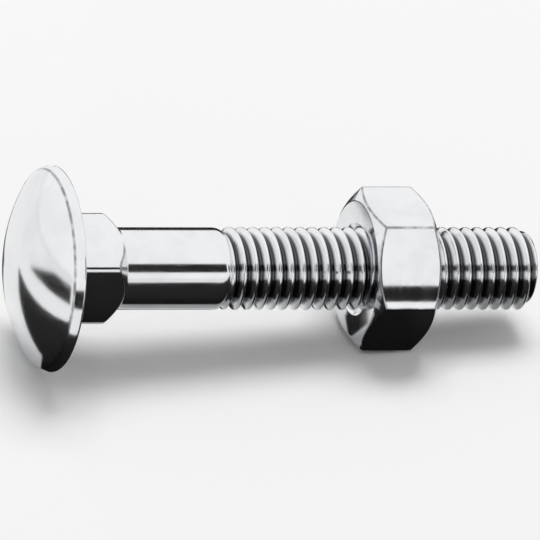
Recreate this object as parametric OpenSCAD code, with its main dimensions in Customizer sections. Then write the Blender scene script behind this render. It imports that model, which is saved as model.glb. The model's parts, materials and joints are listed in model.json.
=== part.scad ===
// Carriage bolt with its hexagon nut, lying as it comes to rest.
// Lengths in millimetres. Distances along the bolt are measured from the face under its head.

/* [Thread] */
// Diameter over the thread crests
thread_d = 9.9; // [9:0.1:11]
// Distance from one crest to the next
pitch = 1.5; // [1.25:0.25:2]
// Length of the threaded end
thread_l = 39; // [20:1:44]

/* [Shank] */
// Length of the bolt from under its head to its tip
bolt_l = 60; // [54:1:80]
// How much thinner the plain shank is than the thread
shank_less = 0.1; // [0:0.05:0.4]
// Depth of the notch between the shank and the thread
notch_depth = 0.5; // [0.2:0.1:0.7]
// Slope of both sides of that notch, from the axis
notch_angle = 45; // [30:5:60]

/* [Head] */
// Diameter of the head
head_d = 24.6; // [22:0.2:28]
// Thickness of the rim round the head
rim_t = 1.4; // [0.8:0.1:2.4]
// How far the rim leans in towards the dome
rim_lean = 0.4; // [0:0.1:0.8]
// Radius of the rim's edge under the head
rim_edge_r = 0.3; // [0.1:0.1:0.6]
// Height of the dome above the rim
dome_h = 3.8; // [2:0.1:6]

/* [Square neck] */
// How much wider the square is than the shank
neck_more = 0.2; // [0:0.1:1]
// Radius of the square's corners
neck_corner_r = 1.2; // [0.6:0.1:1.8]
// Length of the square at its corners
neck_l = 6.2; // [4:0.1:8]
// Slope of the turned end of the square, from the axis
neck_end_angle = 49; // [30:1:60]

/* [Tip] */
// How much thinner the tip's flat end is than the bottom of the thread
tip_less = 0.2; // [0:0.1:1]
// Slope of the tip's chamfer, from the axis
tip_angle = 45; // [30:5:60]

/* [Nut] */
// Width of the nut across its flats
nut_af = 17; // [15:0.5:19]
// Height of the nut
nut_h = 8; // [5:0.2:10]
// Distance from under the head to the nut
nut_at = 38.1; // [24:0.1:42]
// Angle of the chamfers on the nut's corners, from its faces
nut_chamfer_angle = 30; // [15:1:30]
// How much smaller than the flats the nut's round face is
nut_face_less = 0.6; // [0.2:0.1:1.5]
// Running clearance between the nut's bore and the thread crests
nut_clearance = 0.1; // [0.05:0.05:0.2]
// Width of the countersink at each end of the bore
countersink_w = 0.5; // [0.2:0.1:1]

/* [Hidden] */

// Turn of the square and of the nut about the bolt's axis: both face the same way, 30 degrees above level
view_rise = 30;
// A 60-degree thread: height of its ridges, and width of its crests
flank_angle = 30;
ridge_h = 0.6134 * pitch;
crest_w = pitch / 8;
flank_w = ridge_h * tan(flank_angle);
root_w = pitch - crest_w - 2 * flank_w;
crest_r = thread_d / 2;
root_r = crest_r - ridge_h;
thread_at = bolt_l - thread_l;
// Facets round one turn of the thread
turn_facets = 36;
turns = ceil(thread_l / pitch) + 3;
// Corners of the ridge within one pitch: distance along the bolt and radius
ridge = [[0, root_r], [root_w, root_r], [root_w + flank_w, crest_r], [pitch - flank_w, crest_r]];
corners = len(ridge);
column = turns * corners;

shank_r = (thread_d - shank_less) / 2;
notch_r = shank_r - notch_depth;
neck_w = 2 * shank_r + neck_more;
neck_corner_at = neck_w / 2 - neck_corner_r;
neck_reach = neck_corner_at * sqrt(2) + neck_corner_r;
neck_cone_l = (neck_reach - shank_r) / tan(neck_end_angle);
// Overlap of pieces of the same forging where they run into each other
bury = 0.5;

head_r = head_d / 2;
dome_base_r = head_r - rim_lean;
dome_r = (dome_h * dome_h + dome_base_r * dome_base_r) / (2 * dome_h);
tip_r = root_r - tip_less / 2;

nut_corner_r = nut_af / 2 / cos(30);
nut_face_r = (nut_af - nut_face_less) / 2;
nut_bore_r = crest_r + nut_clearance;
nut_flat_end = nut_at + nut_h - (nut_af / 2 - nut_face_r) * tan(nut_chamfer_angle);

// Slope at which the bolt lies: on the rim of its head and on the first of its other edges to touch down
function slope_on(edge_r, edge_at) =
    let (drop = head_r - rim_edge_r - edge_r, run = edge_at + rim_edge_r)
    atan2(drop, run) + asin(rim_edge_r / norm([drop, run]));
lying_slope = min(slope_on(nut_af / 2, nut_flat_end), slope_on(tip_r, bolt_l));

$fn = 96;

// One corner of the thread's surface: facet column j round the bolt, corner m along it
function ridge_point(j, m) =
    let (p = ridge[m % corners], turn = floor(m / corners) - 2 + j / turn_facets, a = 360 * j / turn_facets)
    [thread_at + pitch * turn + p[0], p[1] * cos(a), p[1] * sin(a)];

// The number of that corner. Past the last column the surface goes on in the first, one pitch further
function at(j, m) = j < turn_facets ? j * column + m : m + corners;

// A threaded rod longer than the thread at both ends, as one helical surface closed by two points
module threaded_rod() {
    last = turn_facets - 1;
    points = concat(
        [for (j = [0 : last], m = [0 : column - 1]) ridge_point(j, m)],
        [[thread_at - 3 * pitch, 0, 0], [thread_at + pitch * (turns - 1), 0, 0]]
    );
    start = turn_facets * column;
    end = start + 1;
    first_edge = concat([for (j = [0 : last]) at(j, 0)], [for (m = [corners : -1 : 0]) m]);
    last_edge = concat(
        [for (j = [0 : last]) at(j, column - 1)],
        [for (m = [1 : corners]) at(last, column - 1 - m)],
        [at(0, column - 1)]
    );
    sides = [for (j = [0 : last], m = [0 : column - 2 - (j == last ? corners : 0)], half = [0, 1])
        half == 0
            ? [at(j, m), at(j + 1, m + 1), at(j + 1, m)]
            : [at(j, m), at(j, m + 1), at(j + 1, m + 1)]];
    caps = concat(
        [for (i = [0 : len(first_edge) - 2]) [start, first_edge[i], first_edge[i + 1]]],
        [for (i = [0 : len(last_edge) - 2]) [end, last_edge[i + 1], last_edge[i]]]
    );
    polyhedron(points, concat(sides, caps));
}

// What bounds the thread: it rises out of the shank's end and is chamfered at the tip
module thread_envelope() {
    clear_r = crest_r + bury;
    foot_r = notch_r - bury;
    rotate([0, 90, 0])
        rotate_extrude()
            polygon([
                [0, thread_at - bury / tan(notch_angle)],
                [foot_r, thread_at - bury / tan(notch_angle)],
                [clear_r, thread_at + (clear_r - notch_r) / tan(notch_angle)],
                [clear_r, bolt_l - (clear_r - tip_r) / tan(tip_angle)],
                [tip_r, bolt_l],
                [0, bolt_l]
            ]);
}

module thread() {
    intersection() {
        threaded_rod();
        thread_envelope();
    }
}

// Plain shank from inside the head to the thread, with a sloped end
module shank() {
    rotate([0, 90, 0])
        rotate_extrude()
            polygon([
                [0, -bury],
                [shank_r, -bury],
                [shank_r, thread_at - notch_depth / tan(notch_angle)],
                [notch_r, thread_at],
                [0, thread_at]
            ]);
}

// Square with round corners
module neck_outline() {
    square([neck_w, 2 * neck_corner_at], center = true);
    square([2 * neck_corner_at, neck_w], center = true);
    for (y = [-1, 1], z = [-1, 1])
        translate([y * neck_corner_at, z * neck_corner_at])
            circle(r = neck_corner_r);
}

// Square neck under the head, its end turned down to the shank
module square_neck() {
    wide_r = neck_reach + bury;
    intersection() {
        rotate([0, 90, 0])
            rotate([0, 0, 45 - view_rise])
                translate([0, 0, -bury])
                    linear_extrude(neck_l + neck_cone_l + bury)
                        neck_outline();
        rotate([0, 90, 0])
            rotate_extrude()
                polygon([
                    [0, -bury],
                    [wide_r, -bury],
                    [wide_r, neck_l - bury / tan(neck_end_angle)],
                    [shank_r, neck_l + neck_cone_l],
                    [0, neck_l + neck_cone_l]
                ]);
    }
}

// Round head: a rim with a shallow dome on it
module head() {
    rotate([0, 90, 0])
        rotate_extrude() {
            intersection() {
                translate([0, dome_r - dome_h - rim_t])
                    circle(r = dome_r);
                translate([0, -rim_t - dome_h])
                    square([dome_base_r, dome_h]);
            }
            polygon([
                [0, -rim_t],
                [dome_base_r, -rim_t],
                [head_r, -rim_edge_r],
                [head_r - rim_edge_r, -rim_edge_r],
                [head_r - rim_edge_r, 0],
                [0, 0]
            ]);
            translate([head_r - rim_edge_r, -rim_edge_r])
                circle(r = rim_edge_r);
        }
}

// Hexagon with both ends chamfered, bored over the thread crests and countersunk
module nut_body() {
    chamfer_h = (nut_corner_r + bury - nut_face_r) * tan(nut_chamfer_angle);
    sink_r = nut_bore_r + countersink_w;
    rotate([0, 90, 0])
        difference() {
            intersection() {
                rotate([0, 0, 30])
                    cylinder(h = nut_h, r = nut_corner_r, $fn = 6);
                rotate_extrude()
                    polygon([
                        [0, 0],
                        [nut_face_r, 0],
                        [nut_corner_r + bury, chamfer_h],
                        [nut_corner_r + bury, nut_h - chamfer_h],
                        [nut_face_r, nut_h],
                        [0, nut_h]
                    ]);
            }
            translate([0, 0, -bury])
                cylinder(h = nut_h + 2 * bury, r = nut_bore_r);
            translate([0, 0, -bury])
                cylinder(h = countersink_w + bury, r1 = sink_r + bury, r2 = nut_bore_r);
            translate([0, 0, nut_h - countersink_w])
                cylinder(h = countersink_w + bury, r1 = nut_bore_r, r2 = sink_r + bury);
        }
}

// Lays the bolt down on the rim of its head and the nut
module lay() {
    rotate([0, lying_slope, 0])
        children();
}

// Forged in one piece: head, square neck, shank and rolled thread
module carriage_bolt() {
    color("gainsboro")
        lay()
            union() {
                head();
                square_neck();
                shank();
                thread();
            }
}

module hex_nut() {
    color("lightsteelblue")
        lay()
            translate([nut_at, 0, 0])
                nut_body();
}

carriage_bolt();
hex_nut();
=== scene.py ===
import json
import math

import bmesh
import bpy
from mathutils import Matrix, Vector


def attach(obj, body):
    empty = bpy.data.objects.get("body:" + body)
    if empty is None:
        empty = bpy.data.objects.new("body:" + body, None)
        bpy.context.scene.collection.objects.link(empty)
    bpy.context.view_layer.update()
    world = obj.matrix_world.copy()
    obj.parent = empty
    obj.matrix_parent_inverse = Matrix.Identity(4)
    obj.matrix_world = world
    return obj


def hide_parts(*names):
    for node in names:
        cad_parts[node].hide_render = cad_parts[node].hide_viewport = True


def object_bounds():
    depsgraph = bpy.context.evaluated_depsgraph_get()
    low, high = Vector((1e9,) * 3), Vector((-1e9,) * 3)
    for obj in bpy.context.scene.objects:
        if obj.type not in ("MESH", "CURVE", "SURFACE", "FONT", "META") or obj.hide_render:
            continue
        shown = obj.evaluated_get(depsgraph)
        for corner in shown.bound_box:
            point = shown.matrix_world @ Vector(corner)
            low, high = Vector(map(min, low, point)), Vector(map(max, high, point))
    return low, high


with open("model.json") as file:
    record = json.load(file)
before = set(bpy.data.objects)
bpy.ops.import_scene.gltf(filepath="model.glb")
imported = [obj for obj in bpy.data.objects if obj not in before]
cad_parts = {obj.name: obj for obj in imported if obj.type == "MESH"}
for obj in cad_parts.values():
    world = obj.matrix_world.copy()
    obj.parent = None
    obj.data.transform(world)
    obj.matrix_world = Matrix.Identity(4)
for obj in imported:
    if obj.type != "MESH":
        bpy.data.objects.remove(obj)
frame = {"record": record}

cad_low, cad_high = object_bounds()

# Lengths in millimetres. Distances along the bolt are measured from the face under its head
MM = 0.001
# Columns of faces round the axis, on both pieces
COLUMNS = 144
# Distance from an edge's round to the ring of the face beside it that keeps that face flat
HOLD = 0.06
# Angles of the corners of a quarter round
QUARTER = [math.radians(22.5 * step) for step in range(5)]
# Shares at which a round between two faces has its corners, where it is cut in four and in three
IN_FOUR = (0, 0.25, 0.5, 0.75, 1.0)
IN_THREE = (0, 0.33, 0.67, 1.0)

# Thread with ridges of 60 degrees
PITCH = 1.5
THREAD_R = 4.95
THREAD_DEPTH = 0.6134 * PITCH
ROOT_R = THREAD_R - THREAD_DEPTH
FLANK = math.radians(30)
CREST_W = PITCH / 8
RIDGE_FOOT = CREST_W / 2 + THREAD_DEPTH * math.tan(FLANK)
# Middle of a crest, from the place where its turn starts
CREST_AT = PITCH - RIDGE_FOOT
# Radius of the round on a crest, and the angle between its corners
CREST_ROUND = 0.16
CREST_STEP = math.radians(20)
# Distance of a flank's own corner from the middle of the crest
FLANK_CORNER = 0.36
# Share of the root's half width that its round takes
ROOT_SHARE = 0.8

BOLT_L = 60.0
THREAD_L = 39.0
THREAD_AT = BOLT_L - THREAD_L

SHANK_R = 4.9
NOTCH_DEPTH = 0.5
NOTCH_R = SHANK_R - NOTCH_DEPTH
# How steeply the notch's foot goes down to the thread's roots
NOTCH_FALL = 0.5
# The shoulder's round: how far up its slope it starts, and how far along the shank it ends
SHOULDER_START = 0.15
SHOULDER_ROUND = 0.7
SHANK_RING_AT = 12.0

NECK_W = 10.0
NECK_CORNER_R = 1.2
NECK_CORNER_AT = NECK_W / 2 - NECK_CORNER_R
NECK_REACH = NECK_CORNER_AT * math.sqrt(2) + NECK_CORNER_R
NECK_TURN = math.radians(15)
NECK_END = math.radians(49)
# Length of the square at its corners, and of the whole neck down to the shank
NECK_SQUARE_L = 6.2
NECK_L = NECK_SQUARE_L + (NECK_REACH - SHANK_R) / math.tan(NECK_END)
# Rounds at the two ends of the neck's turned slope, which take this share of a short slope at most
NECK_ROUND = 0.16
NECK_FOOT_ROUND = 0.12
NECK_ROUND_SHARE = 0.35

HEAD_R = 12.3
RIM_T = 1.4
RIM_LEAN = 0.4
RIM_EDGE_R = 0.3
# The round between the rim and the dome: how far it goes down the rim, and over the dome
RIM_ROUND = 0.3
DOME_ROUND = 0.32
DOME_H = 3.8
DOME_BASE_R = HEAD_R - RIM_LEAN
DOME_R = (DOME_H ** 2 + DOME_BASE_R ** 2) / (2 * DOME_H)
DOME_CENTRE = DOME_R - DOME_H - RIM_T
DOME_RINGS = 26
UNDER_HEAD_FILLET = 0.35
UNDER_HEAD_RINGS = (8.4, 10.5)

TIP_R = ROOT_R - 0.1
TIP_EDGE = 0.1
# Round between the tip's chamfer and its cut end, in sizes of that edge: back from the end, and out
TIP_ROUND = [(0.4, 0.2), (0.1, -0.5), (0, -1.4)]
TIP_RING_R = 1.5

NUT_AF = 17.0
NUT_H = 8.0
NUT_AT = 38.1
NUT_END = NUT_AT + NUT_H
NUT_FACE_R = 8.2
NUT_FACE_RINGS = (6.4, 7.2)
NUT_CHAMFER = math.radians(30)
NUT_CORNER_R = 0.3
NUT_PLAY = 0.1
NUT_BORE_R = 4.34
NUT_SINK_W = 0.5
NUT_SINK_R = THREAD_R + NUT_PLAY + NUT_SINK_W
# Rounds at the countersink and between the nut's face, chamfer and flats
NUT_LIP = 0.06
NUT_LIP_OUT = 0.07
NUT_EDGE = 0.12
NUT_EDGE_SHARE = 0.4
# Angle between two corners of the hexagon
SIXTH = math.pi / 3

# How far past the tip's chamfer, the thread's start and the nut's chamfer the finish of each still goes
TIP_SKIN = 0.02
SHOULDER_SKIN = 0.2
CHAMFER_SKIN = 0.05

# The bolt lies on the rim of its head and the end of a flat of its nut, so its axis slopes down to the tip
mounts = {mount["name"]: mount for mount in frame["record"]["mounts"]}
AXIS = Vector(mounts["under_head"]["axis"]).normalized()
SLOPE = math.atan2(-AXIS.z, AXIS.x)
LYING = Matrix.Rotation(SLOPE, 4, "Y")
# Middle of the bolt, in metres
MIDDLE = Vector((BOLT_L / 2 * MM, 0, 0))


# Shapes

def drawn_line(bm, points):
    """A line of edges through points (along the bolt, out from its axis)."""
    corners = [bm.verts.new((along, out, 0)) for along, out in points]
    return corners + [bm.edges.new(pair) for pair in zip(corners, corners[1:])]


def rounded(before, edge, after, share):
    """A point on the round between two faces that meet at an edge."""
    return tuple(
        (1 - share) ** 2 * b + 2 * share * (1 - share) * e + share ** 2 * a
        for b, e, a in zip(before, edge, after)
    )


def ridge_half(play):
    """Corners of half a ridge, from the middle of its crest to the middle of the root: (distance, out)."""
    corners = []
    for step in range(4):
        a = CREST_STEP * step
        corners.append((CREST_ROUND * math.sin(a), THREAD_R - CREST_ROUND * (1 - math.cos(a))))
    corners.append((FLANK_CORNER, THREAD_R - (FLANK_CORNER - CREST_W / 2) / math.tan(FLANK)))
    reach = (PITCH / 2 - RIDGE_FOOT) * ROOT_SHARE
    start = (RIDGE_FOOT - reach * math.sin(FLANK), ROOT_R + reach * math.cos(FLANK))
    end = (RIDGE_FOOT + reach, ROOT_R)
    corners += [start, rounded(start, (RIDGE_FOOT, ROOT_R), end, 0.5), end]
    return [(distance, out + play) for distance, out in corners]


def swept_thread(bm, first_turn, turns, play=0.0):
    """Sweeps a line of ridges once round the axis and a pitch along it, so that they join into a helix."""
    half = ridge_half(play)
    points = []
    for turn in range(first_turn, first_turn + turns):
        crest = THREAD_AT + PITCH * turn + CREST_AT
        points += [(crest - distance, out) for distance, out in reversed(half)]
        points += [(crest + distance, out) for distance, out in half[1:]]
        points.append((crest + PITCH / 2, ROOT_R + play))
    bmesh.ops.spin(
        bm, geom=drawn_line(bm, points), cent=(0, 0, 0), axis=(1, 0, 0), dvec=(PITCH / COLUMNS, 0, 0),
        angle=math.tau, steps=COLUMNS, use_merge=False,
    )
    bmesh.ops.remove_doubles(bm, verts=bm.verts, dist=0.002)


def held_between(bm, start, end, least, most):
    """Stops the thread at two planes, and holds how far out it is between two limits along the bolt."""
    for corner in bm.verts:
        out = math.hypot(corner.co.y, corner.co.z)
        along = min(max(corner.co.x, start), end)
        share = min(max(out, least(along)), most(along)) / out
        corner.co = (along, corner.co.y * share, corner.co.z * share)
    bmesh.ops.remove_doubles(bm, verts=bm.verts, dist=0.0005)
    bmesh.ops.dissolve_degenerate(bm, edges=bm.edges, dist=0.0002)


def open_loop(bm, along):
    """The open edges of the skin at this distance along the bolt."""
    return [e for e in bm.edges if e.is_boundary and all(abs(v.co.x - along) < 0.01 for v in e.verts)]


def grown(bm, loop, place):
    """Extrudes a loop, with each new corner where place(turn) says: (along, out) or (along, out, turn)."""
    made = bmesh.ops.extrude_edge_only(bm, edges=loop)["geom"]
    corners = {v for v in made if isinstance(v, bmesh.types.BMVert)}
    for corner in corners:
        turn = math.atan2(corner.co.z, corner.co.y)
        along, out, *turned = place(turn)
        turn = turned[0] if turned else turn
        corner.co = (along, out * math.cos(turn), out * math.sin(turn))
    return [e for e in bm.edges if e.verts[0] in corners and e.verts[1] in corners and e.is_boundary]


def grown_round(bm, loop, points):
    """Grows a loop through round rings at points (along, out)."""
    for along, out in points:
        loop = grown(bm, loop, lambda turn: (along, out))
    return loop


def closed(bm, loop, along):
    """Closes a round loop with a pole on the axis."""
    loop = grown_round(bm, loop, [(along, 0.01)])
    ring = list(dict.fromkeys(v for e in loop for v in e.verts))
    bmesh.ops.pointmerge(bm, verts=ring, merge_co=(along, 0, 0))


def finished(bm, name, materials, material_at):
    """Makes a closed skin a piece that lies as the bolt lies, in metres."""
    bmesh.ops.remove_doubles(bm, verts=bm.verts, dist=0.0005)
    bmesh.ops.recalc_face_normals(bm, faces=bm.faces)
    for face in bm.faces:
        face.smooth = True
        face.material_index = material_at(face.calc_center_median())
    bmesh.ops.transform(bm, matrix=LYING @ Matrix.Scale(MM, 4), verts=bm.verts)
    mesh = bpy.data.meshes.new(name)
    bm.to_mesh(mesh)
    bm.free()
    for material in materials:
        mesh.materials.append(material)
    piece = bpy.data.objects.new(name, mesh)
    bpy.context.scene.collection.objects.link(piece)
    soft_edges = piece.modifiers.new("soft_edges", "WEIGHTED_NORMAL")
    soft_edges.weight = 50
    soft_edges.mode = "FACE_AREA"
    return piece


def bolt_thread(bm):
    """The rolled thread, from the notch at the shank to the tip's chamfer. Gives the distance of its end."""
    end = BOLT_L - TIP_EDGE

    def least(along):
        if along > end - 0.0001:
            return 0
        return max(ROOT_R, NOTCH_R - NOTCH_FALL * (along - THREAD_AT))

    def most(along):
        return min(THREAD_R, NOTCH_R + (along - THREAD_AT), TIP_R + (BOLT_L - along))

    swept_thread(bm, -2, 30)
    held_between(bm, THREAD_AT, end, least, most)
    return end


def tip(bm, loop):
    """The cut end of the tip, with its edge rounded."""
    edge_round = [(BOLT_L - back * TIP_EDGE, TIP_R + out * TIP_EDGE) for back, out in TIP_ROUND]
    loop = grown_round(bm, loop, edge_round)
    face_r = edge_round[-1][1]
    loop = grown_round(bm, loop, [(BOLT_L, face_r - HOLD), (BOLT_L, TIP_RING_R)])
    closed(bm, loop, BOLT_L)


def shank(bm, loop):
    """The plain shank, from its rounded shoulder at the thread to the neck."""
    before = (THREAD_AT - SHOULDER_START, NOTCH_R + SHOULDER_START)
    edge = (THREAD_AT - NOTCH_DEPTH, SHANK_R)
    after = (edge[0] - SHOULDER_ROUND, SHANK_R)
    loop = grown_round(bm, loop, [rounded(before, edge, after, step / 6) for step in range(7)])
    neck_at = NECK_L + NECK_FOOT_ROUND
    rings = (after[0] - HOLD, SHANK_RING_AT, neck_at + HOLD, neck_at)
    return grown_round(bm, loop, [(along, SHANK_R) for along in rings])


def square_out(turn):
    """How far out the square neck's face is at a turn about the axis."""
    a = abs((turn - NECK_TURN + math.pi / 4) % (math.pi / 2) - math.pi / 4)
    if NECK_W / 2 * math.tan(a) <= NECK_CORNER_AT:
        return NECK_W / 2 / math.cos(a)
    middle = NECK_CORNER_AT * (math.cos(a) + math.sin(a))
    return middle + math.sqrt(NECK_CORNER_R ** 2 - 2 * NECK_CORNER_AT ** 2 + middle ** 2)


def neck_slope(out):
    """Length of the neck's turned slope from the shank to this far out."""
    return (out - SHANK_R) / math.sin(NECK_END)


def neck_foot(share):
    """Places a ring on the round between the shank and the neck's turned slope."""
    def place(turn):
        near = min(NECK_FOOT_ROUND, NECK_ROUND_SHARE * neck_slope(square_out(turn)))
        before = (NECK_L + NECK_FOOT_ROUND, SHANK_R)
        after = (NECK_L - near * math.cos(NECK_END), SHANK_R + near * math.sin(NECK_END))
        return rounded(before, (NECK_L, SHANK_R), after, share)
    return place


def neck_edge(share):
    """Places a ring on the round between the neck's turned slope and its sides."""
    def place(turn):
        out = square_out(turn)
        near = min(NECK_ROUND, NECK_ROUND_SHARE * neck_slope(out))
        edge = (NECK_L - (out - SHANK_R) / math.tan(NECK_END), out)
        before = (edge[0] + near * math.cos(NECK_END), out - near * math.sin(NECK_END))
        after = (edge[0] - near, out)
        return rounded(before, edge, after, share)
    return place


def square_neck(bm, loop):
    """The turned end of the square neck, its sides and the fillet under the head."""
    for share in (0.5, 1.0):
        loop = grown(bm, loop, neck_foot(share))
    for share in IN_THREE:
        loop = grown(bm, loop, neck_edge(share))
    loop = grown(bm, loop, lambda turn: (neck_edge(1.0)(turn)[0] - HOLD, square_out(turn)))
    loop = grown(bm, loop, lambda turn: (UNDER_HEAD_FILLET + HOLD, square_out(turn)))
    for a in QUARTER:
        loop = grown(bm, loop, lambda turn: (
            UNDER_HEAD_FILLET * (1 - math.sin(a)),
            square_out(turn) + UNDER_HEAD_FILLET * (1 - math.cos(a)),
        ))
    return grown(bm, loop, lambda turn: (0, square_out(turn) + UNDER_HEAD_FILLET + HOLD))


def on_dome(a):
    """A point on the dome, at this angle from its top as seen from the dome's centre."""
    return DOME_CENTRE - DOME_R * math.cos(a), DOME_R * math.sin(a)


def head(bm, loop):
    """The bearing face under the head, the rim and the dome."""
    edge_at = HEAD_R - RIM_EDGE_R
    loop = grown_round(bm, loop, [(0, out) for out in (*UNDER_HEAD_RINGS, edge_at - HOLD)])
    loop = grown_round(bm, loop, [
        (-RIM_EDGE_R + RIM_EDGE_R * math.cos(a), edge_at + RIM_EDGE_R * math.sin(a)) for a in QUARTER
    ])
    first = math.asin(DOME_BASE_R / DOME_R) - DOME_ROUND / DOME_R
    before = (-RIM_T + RIM_ROUND, DOME_BASE_R + RIM_ROUND * RIM_LEAN / (RIM_T - RIM_EDGE_R))
    corner = (-RIM_T, DOME_BASE_R)
    loop = grown_round(bm, loop, [rounded(before, corner, on_dome(first), share) for share in IN_FOUR])
    rings = [on_dome(first * (1 - ring / DOME_RINGS)) for ring in range(1, DOME_RINGS)]
    loop = grown_round(bm, loop, rings)
    closed(bm, loop, on_dome(0)[0])


def bolt(forged, threaded, turned):
    """The whole bolt as one closed skin."""
    bm = bmesh.new()
    end = bolt_thread(bm)
    tip(bm, open_loop(bm, end))
    loop = shank(bm, open_loop(bm, THREAD_AT))
    loop = square_neck(bm, loop)
    head(bm, loop)

    def finish_at(middle):
        on_chamfer = math.hypot(middle.y, middle.z) > TIP_R + BOLT_L - middle.x - TIP_SKIN
        if on_chamfer or middle.x > BOLT_L - TIP_SKIN:
            return 2
        return int(middle.x > THREAD_AT - SHOULDER_SKIN)

    return finished(bm, "forged_bolt", [forged, threaded, turned], finish_at)


def hex_out(turn):
    """How far out the nut's side is at a turn about the axis."""
    a = abs(turn % SIXTH - SIXTH / 2)
    corner_at = (NUT_AF / 2 - NUT_CORNER_R) / math.cos(SIXTH / 2)
    if NUT_AF / 2 * math.tan(a) < corner_at * math.sin(SIXTH / 2):
        return NUT_AF / 2 / math.cos(a)
    b = SIXTH / 2 - a
    return corner_at * math.cos(b) + math.sqrt(NUT_CORNER_R ** 2 - (corner_at * math.sin(b)) ** 2)


def gathered(turn):
    """Draws two columns at each side of a nut's corner in to its round, and spaces the others evenly."""
    column = math.tau / COLUMNS
    corner = round(turn / SIXTH) * SIXTH
    away = turn - corner
    columns = abs(away) / column
    reach = NUT_AF / 2 / math.cos(SIXTH / 2)
    round_half = NUT_CORNER_R * math.sin(SIXTH / 2) / (reach - NUT_CORNER_R / 2)
    flat_start = round_half + HOLD / (NUT_AF / 2)
    if columns < 2.5:
        spaced = columns / 2 * round_half
    else:
        spaced = flat_start + (columns - 3) / (SIXTH / 2 / column - 3) * (SIXTH / 2 - flat_start)
    return corner + math.copysign(spaced, away)


def nut_thread(bm):
    """The thread inside the nut, down to the countersinks. Gives the distances of its ends."""
    ends = (NUT_AT + NUT_LIP, NUT_END - NUT_LIP)
    first_turn = math.floor((NUT_AT - THREAD_AT) / PITCH) - 2
    swept_thread(bm, first_turn, math.ceil(NUT_H / PITCH) + 4, NUT_PLAY)

    def least(along):
        return max(NUT_BORE_R, NUT_SINK_R - min(along - NUT_AT, NUT_END - along))

    held_between(bm, *ends, least, lambda along: math.inf)
    return ends


def flat_end(face, inward, share):
    """Places a ring on the round between the nut's chamfer and its flats."""
    def place(turn):
        out = hex_out(turn)
        rise = (out - NUT_FACE_R) * math.tan(NUT_CHAMFER)
        near = min(NUT_EDGE, NUT_EDGE_SHARE * (out - NUT_FACE_R))
        before = (rise - near * math.sin(NUT_CHAMFER), out - near * math.cos(NUT_CHAMFER))
        depth, out = rounded(before, (rise, out), (rise + near, out), share)
        return face + depth * inward, out
    return place


def nut_side(bm, loop, face, inward):
    """One half of the nut's outside: its face, chamfer and flats, from the countersink to its middle."""
    lip_r = NUT_SINK_R + NUT_LIP_OUT
    loop = grown_round(bm, loop, [(face + NUT_LIP / 3 * inward, NUT_SINK_R), (face, lip_r)])
    loop = grown_round(bm, loop, [(face, lip_r + HOLD), (face, NUT_FACE_RINGS[0])])
    loop = grown(bm, loop, lambda turn: (face, NUT_FACE_RINGS[1], gathered(turn)))
    edge_r = NUT_FACE_R - NUT_EDGE
    loop = grown_round(bm, loop, [(face, edge_r - HOLD), (face, edge_r)])
    loop = grown_round(bm, loop, [(face + 0.15 * NUT_EDGE * inward, NUT_FACE_R)])
    for share in IN_THREE:
        loop = grown(bm, loop, flat_end(face, inward, share))
    flat_start = flat_end(face, inward, 1.0)
    loop = grown(bm, loop, lambda turn: (flat_start(turn)[0] + HOLD * inward, hex_out(turn)))
    grown(bm, loop, lambda turn: (NUT_AT + NUT_H / 2, hex_out(turn)))


def nut(flats, turned, threaded):
    """The whole nut as one closed skin."""
    bm = bmesh.new()
    near_end, far_end = nut_thread(bm)
    nut_side(bm, open_loop(bm, near_end), NUT_AT, 1)
    nut_side(bm, open_loop(bm, far_end), NUT_END, -1)

    def finish_at(middle):
        out = math.hypot(middle.y, middle.z)
        if out < NUT_SINK_R:
            return 2
        from_end = min(middle.x - NUT_AT, NUT_END - middle.x)
        return int(from_end < (out - NUT_FACE_R) * math.tan(NUT_CHAMFER) + CHAMFER_SKIN)

    return finished(bm, "hexagon_nut", [flats, turned, threaded], finish_at)


# Finishes

BRIGHT = (0.85, 0.86, 0.875, 1)
SOFT_GREY = (0.79, 0.80, 0.82, 1)
WORN_STEEL = (0.26, 0.26, 0.27, 1)
# Painted shade for the thread's roots: a near-black
PAINTED_ROOT_SHADE = (0.10, 0.10, 0.105, 1)
# Widths of the worn lines: on the rim, at the ends of the neck's and nut's sides, and between nut flats
RIM_WEAR = 0.5
END_WEAR = 0.45
CORNER_WEAR = 0.55
# Places of the two colours and the result among a Mix node's sockets
MIX_A, MIX_B, MIXED = 6, 7, 2


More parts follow.
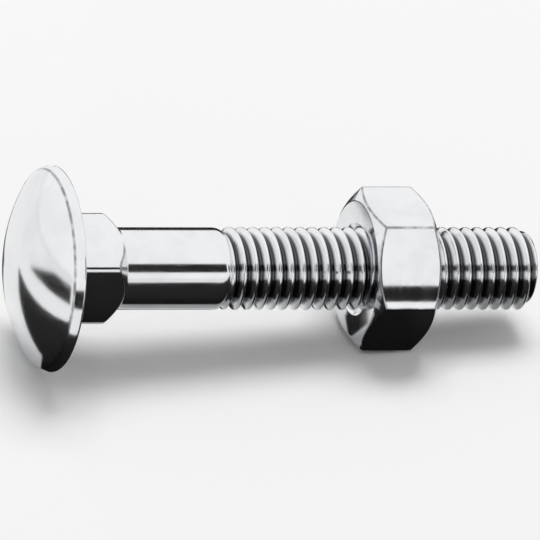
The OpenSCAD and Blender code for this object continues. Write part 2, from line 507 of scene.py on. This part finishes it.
class Finish:
    """Bright zinc on steel. Its patterns are laid along the bolt, in millimetres."""

    def __init__(self, name):
        self.material = bpy.data.materials.new(name)
        self.material.use_nodes = True
        self.colour = BRIGHT
        self.tree = self.material.node_tree
        self.shader = self.tree.nodes["Principled BSDF"]
        self.shader.inputs["Metallic"].default_value = 1.0
        where = self.node("ShaderNodeTexCoord")
        along = self.node("ShaderNodeMapping")
        self.join(where.outputs["Object"], along.inputs["Vector"])
        along.inputs["Rotation"].default_value = (0, -SLOPE, 0)
        along.inputs["Scale"].default_value = (1 / MM, 1 / MM, 1 / MM)
        self.place = along.outputs["Vector"]
        apart = self.node("ShaderNodeSeparateXYZ")
        self.join(self.place, apart.inputs[0])
        self.x, self.y, self.z = apart.outputs
        self.out = self.maths("SQRT", self.add(self.times(self.y, self.y), self.times(self.z, self.z)))

    def node(self, kind, **settings):
        made = self.tree.nodes.new(kind)
        for key, value in settings.items():
            setattr(made, key, value)
        return made

    def join(self, out, into):
        self.tree.links.new(out, into)

    def put(self, socket, value):
        """Joins a socket to another one's result, or sets it to a number or colour."""
        if hasattr(value, "is_output"):
            self.join(value, socket)
        else:
            socket.default_value = value

    def maths(self, operation, a, b=None):
        made = self.node("ShaderNodeMath", operation=operation)
        self.put(made.inputs[0], a)
        if b is not None:
            self.put(made.inputs[1], b)
        return made.outputs[0]

    def add(self, a, b):
        return self.maths("ADD", a, b)

    def less(self, a, b):
        return self.maths("SUBTRACT", a, b)

    def times(self, a, b):
        return self.maths("MULTIPLY", a, b)

    def between(self, value, low, high, to_low=0.0, to_high=1.0, smooth=False):
        """Maps a value's range to another, and stops at its ends."""
        made = self.node("ShaderNodeMapRange")
        made.interpolation_type = "SMOOTHSTEP" if smooth else "LINEAR"
        self.put(made.inputs["Value"], value)
        made.inputs["From Min"].default_value = low
        made.inputs["From Max"].default_value = high
        made.inputs["To Min"].default_value = to_low
        made.inputs["To Max"].default_value = to_high
        return made.outputs["Result"]

    def near(self, value, place, width):
        """1 where a value is at this place, down to 0 half a width to either side."""
        away = self.maths("ABSOLUTE", self.less(value, place))
        return self.between(away, width / 2, 0.15 * width, 0.0, 1.0, smooth=True)

    def blend(self, share, a, b):
        made = self.node("ShaderNodeMix", data_type="RGBA")
        self.put(made.inputs[0], share)
        self.put(made.inputs[MIX_A], a)
        self.put(made.inputs[MIX_B], b)
        return made.outputs[MIXED]

    def noise(self, scale, detail=3.0, roughness=0.5, stretch=None):
        """Cloudy noise of this scale to the millimetre, drawn out into streaks by a stretch."""
        made = self.node("ShaderNodeTexNoise")
        made.inputs["Scale"].default_value = scale
        made.inputs["Detail"].default_value = detail
        made.inputs["Roughness"].default_value = roughness
        place = self.place
        if stretch:
            mapping = self.node("ShaderNodeMapping")
            mapping.inputs["Scale"].default_value = stretch
            self.join(place, mapping.inputs["Vector"])
            place = mapping.outputs["Vector"]
        self.join(place, made.inputs["Vector"])
        return made.outputs["Fac"]

    def turned_marks(self, spacing):
        """Fine rings about the axis, such as a lathe tool leaves, of uneven depth."""
        place = self.node("ShaderNodeCombineXYZ")
        self.join(self.out, place.inputs[0])
        self.join(self.times(self.x, 0.5), place.inputs[1])
        made = self.node("ShaderNodeTexNoise")
        made.inputs["Scale"].default_value = 1 / spacing
        made.inputs["Detail"].default_value = 3.0
        self.join(place.outputs["Vector"], made.inputs["Vector"])
        return made.outputs["Fac"]

    def bump(self, height, strength, distance):
        made = self.node("ShaderNodeBump")
        made.inputs["Strength"].default_value = strength
        made.inputs["Distance"].default_value = distance
        self.join(height, made.inputs["Height"])
        self.join(made.outputs["Normal"], self.shader.inputs["Normal"])

    def wear(self, edges):
        """Lets the darker steel show along edges, more in some places than in others."""
        uneven = self.between(self.noise(0.9, 4.0, 0.6), 0.32, 0.62, 0.35, 0.95, smooth=True)
        share = self.times(edges, uneven)
        self.join(self.blend(share, self.colour, WORN_STEEL), self.shader.inputs["Base Color"])
        roughness = self.shader.inputs["Roughness"].links[0].from_socket
        self.join(self.add(roughness, self.times(share, 0.15)), self.shader.inputs["Roughness"])


def plain_zinc(name, smooth, rough, lines=None, rings=None):
    """Zinc with soft clouds, and with streaks stretched by lines or lathe marks spaced by rings."""
    finish = Finish(name)
    cloud = finish.noise(0.22, 4.0, 0.55)
    fine = finish.noise(2.6, 5.0, 0.6)
    streaks = finish.turned_marks(rings) if rings else finish.noise(1.0, 4.0, 0.6, lines)
    finish.colour = finish.blend(finish.between(cloud, 0.38, 0.68, smooth=True), BRIGHT, SOFT_GREY)
    finish.join(finish.colour, finish.shader.inputs["Base Color"])
    uneven = finish.add(finish.times(cloud, 0.45), finish.times(streaks, 0.55))
    finish.join(finish.between(uneven, 0.35, 0.65, smooth, rough), finish.shader.inputs["Roughness"])
    height = finish.add(finish.times(streaks, 0.6), finish.times(fine, 0.4))
    finish.bump(height, 0.25, 0.012 * MM)
    return finish


def rolled_thread_zinc():
    """Thread, with painted shade that darkens it down in its roots."""
    finish = plain_zinc("rolled_thread_zinc", smooth=0.11, rough=0.20, lines=(3.0, 0.4, 0.4))
    height = finish.between(finish.out, ROOT_R + 0.04, THREAD_R - 0.42, smooth=True)
    # Painted shade: the colour goes to near-black down in the thread's roots
    finish.join(finish.blend(height, PAINTED_ROOT_SHADE, finish.colour), finish.shader.inputs["Base Color"])
    return finish.material


def rim_corner(finish):
    """1 along the corner between the rim and the dome."""
    at_rim = finish.near(finish.x, -RIM_T, RIM_WEAR)
    return finish.times(at_rim, finish.near(finish.out, DOME_BASE_R, RIM_WEAR))


def neck_end(finish):
    """1 along the edge between the square neck's sides and its turned slope."""
    slope = finish.times(finish.less(finish.out, SHANK_R), 1 / math.tan(NECK_END))
    edge = finish.near(finish.x, finish.less(NECK_L, slope), END_WEAR)
    turn = finish.less(finish.maths("ARCTAN2", finish.z, finish.y), NECK_TURN)
    quarter = finish.maths("FLOORED_MODULO", finish.add(turn, math.pi / 4), math.pi / 2)
    flat = finish.times(finish.out, finish.maths("COSINE", finish.less(quarter, math.pi / 4)))
    past_shank = finish.between(finish.out, SHANK_R + 0.12, SHANK_R + 0.3)
    past_head = finish.between(finish.x, 1.5, 2.5)
    on_flat = finish.between(flat, NECK_W / 2 - 0.35, NECK_W / 2 - 0.1)
    on_corner = finish.between(finish.out, NECK_REACH - 0.37, NECK_REACH - 0.17)
    on_side = finish.maths("MAXIMUM", on_flat, on_corner)
    return finish.times(edge, finish.times(finish.times(past_shank, past_head), on_side))


def forged_zinc():
    """Head, neck and shank."""
    finish = plain_zinc("forged_zinc", smooth=0.09, rough=0.17, lines=(0.25, 3.2, 3.2))
    finish.wear(finish.maths("MAXIMUM", rim_corner(finish), neck_end(finish)))
    return finish.material


def hexagon_edges(finish):
    """1 along the edges between the nut's flats and at the ends of the flats."""
    turn = finish.maths("FLOORED_MODULO", finish.maths("ARCTAN2", finish.z, finish.y), SIXTH)
    from_flat = finish.maths("ABSOLUTE", finish.less(turn, SIXTH / 2))
    from_corner = finish.times(finish.out, finish.maths("SINE", finish.less(SIXTH / 2, from_flat)))
    flat = finish.times(finish.out, finish.maths("COSINE", from_flat))
    outside = finish.between(flat, NUT_AF / 2 - 0.25, NUT_AF / 2 - 0.1)
    from_middle = finish.maths("ABSOLUTE", finish.less(finish.x, NUT_AT + NUT_H / 2))
    from_end = finish.less(NUT_H / 2, from_middle)
    chamfer = finish.times(finish.less(finish.out, NUT_FACE_R), math.tan(NUT_CHAMFER))
    past_chamfer = finish.between(finish.less(from_end, chamfer), 0.02, 0.12)
    between_flats = finish.times(finish.near(from_corner, 0.0, CORNER_WEAR), past_chamfer)
    end_of_flat = finish.near(from_end, chamfer, END_WEAR)
    return finish.times(finish.maths("MAXIMUM", between_flats, end_of_flat), outside)


def nut_flats_zinc():
    """The nut's flats, drawn bar with streaks round them."""
    finish = plain_zinc("nut_flats_zinc", smooth=0.07, rough=0.14, lines=(2.5, 0.5, 0.5))
    finish.wear(hexagon_edges(finish))
    return finish.material


def turned_nut_zinc():
    """The nut's turned faces and chamfers."""
    finish = plain_zinc("turned_nut_zinc", smooth=0.10, rough=0.22, rings=0.3)
    finish.wear(hexagon_edges(finish))
    return finish.material


def turned_tip_zinc():
    """The tip's chamfer and its cut end."""
    finish = plain_zinc("turned_tip_zinc", smooth=0.12, rough=0.26, rings=0.35)
    at_end = finish.near(finish.less(BOLT_L, finish.x), 0.0, 0.3)
    finish.wear(finish.times(at_end, finish.near(finish.out, TIP_R, 0.5)))
    return finish.material


# Stage

# Level at which the room lights what isn't polished, and the lamp's level on a white surface that faces it
FILL = 0.47
KEY = 0.58
LAMP_SIZE = 1.1
LAMP_DISTANCE = 1.9
LAMP_SIDE = Vector((0.15, 0.35, 1.0)).normalized()

FLOOR_SIZE = 2.0

# The picture's width in pixels, and how many of them a millimetre of the bolt takes
PICTURE_W = 540
PIXELS_FOR_MM = 8.4
# The place on the axis that is in the picture's middle, and how many pixels above the middle the axis runs
MIDDLE_AT = 27.36
AXIS_PIXELS_UP = 1.5
# How far the camera looks down on the bolt, and how far it is turned towards the head
CAMERA_RISE = math.radians(30)
CAMERA_LEAN = math.radians(20)
LENS = 1200.0
SENSOR_W = 36.0

# Outlines of the dark cards that lie on the floor, seen from above, in millimetres
LYING_CARDS = {
    "card_in_front": [(-3, -62), (100, -62), (100, -4), (-3, -4)],
    "card_in_front_of_the_head": [(-24.8, -21), (-3, -21), (-3, -4), (-24.8, -4)],
    "card_by_the_head": [(-24.8, -4), (-5.3, -4), (-26, 26)],
    "card_beyond_the_head": [(-160, -24), (-51, -16), (-51, 10), (-47, 30), (-160, 30)],
    "card_behind_the_shank": [(0, 3), (-5, 24), (9, 52), (24, 52), (24, 3)],
    "card_under_the_thread": [(29.8, 12.5), (31.2, 12.5), (35.4, 4.3), (36.7, -1.2), (32.8, 3)],
    "card_behind_the_nut": [(39, 3), (39, 34), (100, 34), (100, 3)],
    "card_further_behind": [(24, 34), (20, 52), (73, 200), (180, 200), (100, 34)],
}
CARD_LIFT = 0.2
# Those that stand upright: how far behind the axis each is, and its outline, (along, above the floor)
STANDING_CARDS = {
    "card_standing_behind": (200, [(40, 0), (180, 0), (180, 60), (40, 60)]),
    "card_beside_the_rim": (-30, [(-16, 9), (-2.5, 9), (-2.5, 18), (-16, 18)]),
    "card_beside_the_shank": (-30, [(5, 22.6), (46, 19.3), (46, 35.3), (5, 38.6)]),
    "card_beside_the_nut": (-14, [(39.4, 12.5), (50.4, 11.6), (50.4, 13.8), (39.4, 14.7)]),
    "card_beside_the_tip": (-30, [(60, 18.3), (110, 14.2), (110, 29.2), (60, 33.3)]),
}


def matt(name, shade, roughness, gloss):
    """A plain material for the stage."""
    material = bpy.data.materials.new(name)
    material.use_nodes = True
    shader = material.node_tree.nodes["Principled BSDF"]
    shader.inputs["Base Color"].default_value = (shade, shade, shade, 1)
    shader.inputs["Roughness"].default_value = roughness
    shader.inputs["Specular IOR Level"].default_value = gloss
    return material


def staged(bm, name, material):
    """Puts a mesh on the stage."""
    mesh = bpy.data.meshes.new(name)
    bm.to_mesh(mesh)
    bm.free()
    mesh.materials.append(material)
    made = bpy.data.objects.new(name, mesh)
    bpy.context.scene.collection.objects.link(made)
    return made


def floor():
    bm = bmesh.new()
    bmesh.ops.create_grid(bm, x_segments=1, y_segments=1, size=FLOOR_SIZE)
    made = staged(bm, "floor", matt("pale_floor", 0.97, 0.9, 0.1))
    made.location = MIDDLE + Vector((0, 0, cad_low.z))


def dark_card(name, corners, paper):
    """A card with these corners, in millimetres above the floor, that only the polished metal shows."""
    bm = bmesh.new()
    made = [bm.verts.new(Vector(corner) * MM + Vector((0, 0, cad_low.z))) for corner in corners]
    bmesh.ops.contextual_create(bm, geom=made)
    card = staged(bm, name, paper)
    for ray in ("camera", "diffuse", "shadow", "transmission"):
        setattr(card, "visible_" + ray, False)


def dark_cards():
    """Cards that give the metal the drawing's black patches as reflections. Each was placed one by one."""
    paper = matt("dark_card", 0.02, 1.0, 0.0)
    for name, outline in LYING_CARDS.items():
        dark_card(name, [(x, y, CARD_LIFT) for x, y in outline], paper)
    for name, (y, outline) in STANDING_CARDS.items():
        dark_card(name, [(x, y, z) for x, z in outline], paper)


def studio():
    """A white room: the camera and the metal see it at full white, and it lights what is matt at FILL."""
    world = bpy.data.worlds.new("studio")
    bpy.context.scene.world = world
    world.use_nodes = True
    tree = world.node_tree
    path = tree.nodes.new("ShaderNodeLightPath")
    seen = path.outputs["Is Camera Ray"]
    for ray in ("Is Glossy Ray", "Is Transmission Ray"):
        either = tree.nodes.new("ShaderNodeMath")
        either.operation = "MAXIMUM"
        tree.links.new(seen, either.inputs[0])
        tree.links.new(path.outputs[ray], either.inputs[1])
        seen = either.outputs[0]
    level = tree.nodes.new("ShaderNodeMapRange")
    level.inputs["To Min"].default_value = FILL
    tree.links.new(seen, level.inputs["Value"])
    tree.links.new(level.outputs["Result"], tree.nodes["Background"].inputs["Strength"])
    tree.nodes["Background"].inputs["Color"].default_value = (1, 1, 1, 1)


def softbox():
    """The lamp over the bolt, a little behind it, so that the shadow falls under it and in front."""
    lamp = bpy.data.lights.new("softbox", "AREA")
    lamp.shape = "SQUARE"
    lamp.size = LAMP_SIZE
    lamp.energy = KEY * (math.pi * LAMP_DISTANCE) ** 2
    made = bpy.data.objects.new("softbox", lamp)
    bpy.context.scene.collection.objects.link(made)
    made.location = MIDDLE + LAMP_SIDE * LAMP_DISTANCE
    made.rotation_mode = "QUATERNION"
    made.rotation_quaternion = LAMP_SIDE.to_track_quat("Z", "Y")
    made.visible_glossy = False
    made.visible_camera = False


def camera():
    """A long lens that looks down on the bolt from the drawing's side, and shows its axis level."""
    above = LYING @ Vector((0, 0, 1))
    towards = Vector((0, -math.cos(CAMERA_RISE), 0)) + math.sin(CAMERA_RISE) * above
    back = (math.cos(CAMERA_LEAN) * towards - math.sin(CAMERA_LEAN) * AXIS).normalized()
    across = (AXIS - AXIS.dot(back) * back).normalized()
    up = back.cross(across)
    data = bpy.data.cameras.new("camera")
    data.sensor_width = SENSOR_W
    data.lens = LENS
    data.clip_start = 0.1
    data.clip_end = 10.0
    distance = PICTURE_W / PIXELS_FOR_MM * MM * LENS / SENSOR_W
    target = AXIS * MIDDLE_AT * MM - up * AXIS_PIXELS_UP / PIXELS_FOR_MM * MM
    made = bpy.data.objects.new("camera", data)
    bpy.context.scene.collection.objects.link(made)
    turn = Matrix((across, up, back)).transposed().to_4x4()
    made.matrix_world = Matrix.Translation(target + back * distance) @ turn
    bpy.context.scene.camera = made


camera()
studio()
softbox()
floor()
dark_cards()

rolled = rolled_thread_zinc()
carriage_bolt = bolt(forged_zinc(), rolled, turned_tip_zinc())
hex_nut = nut(nut_flats_zinc(), turned_nut_zinc(), rolled)
for piece, body, node, slot in (
    (carriage_bolt, "bolt", "carriage_bolt", "bolt_steel"),
    (hex_nut, "nut", "hex_nut", "nut_steel"),
):
    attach(piece, body)
    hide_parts(node)

bpy.context.scene.view_settings.view_transform = "Standard"
